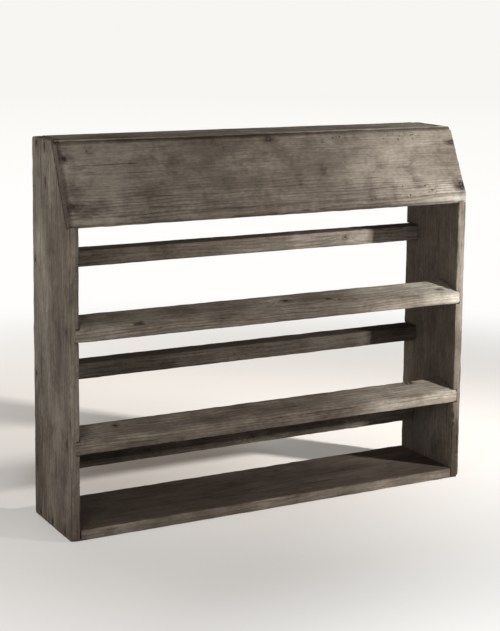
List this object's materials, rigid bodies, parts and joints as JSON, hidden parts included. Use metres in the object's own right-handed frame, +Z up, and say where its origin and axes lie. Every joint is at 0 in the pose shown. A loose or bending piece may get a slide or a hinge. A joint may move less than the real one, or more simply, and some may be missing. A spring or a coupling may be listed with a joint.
{
  "type": "open wooden rack",
  "caption": "Open-backed wooden rack with upright sides, a slanted fascia board, square back rails and bevelled front rails, nailed together, for holding flat things leant or stood on edge.",
  "frame": {"origin": "middle of the rectangle that the rack stands on, at floor level", "axes": "+X across the rack, towards the right side as seen from the front; +Y towards the open back, so the front and the fascia face -Y; +Z up"},
  "size_m": [0.762, 0.164, 0.642],
  "materials": {
    "pine_sides": "weathered, unfinished, worn arrises",
    "pine_fascia": "weathered, planed, stained by handling",
    "pine_boards": "weathered, unfinished",
    "pine_rails": "weathered, unfinished, rounded arrises",
    "rusty_iron": "rusted, matt"
  },
  "bodies": {
    "root": {"side_left": "pine_sides", "side_right": "pine_sides", "fascia_board": "pine_fascia", "top_board": "pine_boards", "bottom_board": "pine_boards", "front_rail_lower": "pine_rails", "front_rail_upper": "pine_rails", "back_rail_lower": "pine_rails", "back_rail_middle": "pine_rails", "back_rail_upper": "pine_rails", "nail_fascia_left_high": "rusty_iron", "nail_fascia_left_low": "rusty_iron", "nail_fascia_right_high": "rusty_iron", "nail_fascia_right_low": "rusty_iron", "nail_fascia_right_spare": "rusty_iron", "nail_fascia_middle": "rusty_iron", "nail_left_front_rail_lower": "rusty_iron", "nail_left_front_rail_upper": "rusty_iron", "nail_left_back_rail_lower": "rusty_iron", "nail_left_back_rail_middle": "rusty_iron", "nail_left_back_rail_upper": "rusty_iron", "nail_left_top_board_rear": "rusty_iron", "nail_left_top_board_fore": "rusty_iron", "nail_left_bottom_board_fore": "rusty_iron", "nail_left_bottom_board_middle": "rusty_iron", "nail_left_bottom_board_rear": "rusty_iron", "nail_right_front_rail_lower": "rusty_iron", "nail_right_front_rail_upper": "rusty_iron", "nail_right_back_rail_lower": "rusty_iron", "nail_right_back_rail_middle": "rusty_iron", "nail_right_back_rail_upper": "rusty_iron", "nail_right_top_board_rear": "rusty_iron", "nail_right_top_board_fore": "rusty_iron", "nail_right_bottom_board_fore": "rusty_iron", "nail_right_bottom_board_middle": "rusty_iron", "nail_right_bottom_board_rear": "rusty_iron"}
  },
  "joints": []
}
